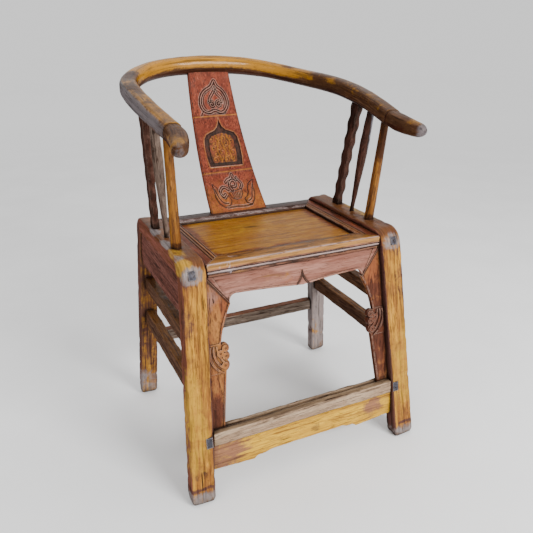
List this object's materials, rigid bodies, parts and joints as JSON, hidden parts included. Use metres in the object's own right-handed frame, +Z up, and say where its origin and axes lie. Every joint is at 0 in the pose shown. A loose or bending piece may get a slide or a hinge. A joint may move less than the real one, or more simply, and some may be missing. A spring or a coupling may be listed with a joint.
{
  "type": "horseshoe back armchair",
  "caption": "Horseshoe back armchair with bent side frames, mitred seat frame and board seat, carved splat, cloud spandrels, foot rail and stretchers.",
  "frame": {"origin": "on the floor, at the middle of the bounding box's bottom", "axes": "+Z up, -Y the way the sitter faces, +X to the right of someone who looks at the chair's front"},
  "size_m": [0.5654, 0.6278, 0.8455],
  "materials": {
    "bent_frame": "worn thin lacquer",
    "seat_rails": "worn thin lacquer",
    "seat_panel": "worn thin lacquer",
    "hidden_wood": "worn thin lacquer",
    "carved_apron": "worn thin lacquer",
    "side_apron": "worn thin lacquer",
    "foot_rail": "worn thin lacquer",
    "foot_apron": "worn thin lacquer",
    "stretchers": "worn thin lacquer",
    "arm_posts": "worn thin lacquer",
    "back_splat": "worn thin lacquer",
    "crest_rail": "worn thin lacquer",
    "pegs": "worn thin lacquer"
  },
  "bodies": {
    "root": {"side_frame_left": "bent_frame", "side_frame_right": "bent_frame", "seat_rail_front": "seat_rails", "seat_rail_rear": "seat_rails", "seat_rail_left": "seat_rails", "seat_rail_right": "seat_rails", "seat_board_front": "seat_panel", "seat_board_rear": "seat_panel", "seat_batten_left": "hidden_wood", "seat_batten_right": "hidden_wood", "rear_apron": "hidden_wood", "front_apron": "carved_apron", "front_spandrel_left": "carved_apron", "front_spandrel_right": "carved_apron", "side_apron_left": "side_apron", "side_apron_right": "side_apron", "foot_rail": "foot_rail", "foot_rail_apron": "foot_apron", "side_stretcher_upper_left": "stretchers", "side_stretcher_upper_right": "stretchers", "side_stretcher_lower_left": "stretchers", "side_stretcher_lower_right": "stretchers", "rear_stretcher_upper": "stretchers", "rear_stretcher_lower": "stretchers", "arm_post_front_left": "arm_posts", "arm_post_front_right": "arm_posts", "arm_post_middle_left": "arm_posts", "arm_post_middle_right": "arm_posts", "arm_post_rear_left": "arm_posts", "arm_post_rear_right": "arm_posts", "back_splat": "back_splat", "crest_rail": "crest_rail", "hand_grip_left": "crest_rail", "hand_grip_right": "crest_rail", "corner_pegs": "pegs", "foot_rail_pegs": "pegs"}
  },
  "joints": []
}
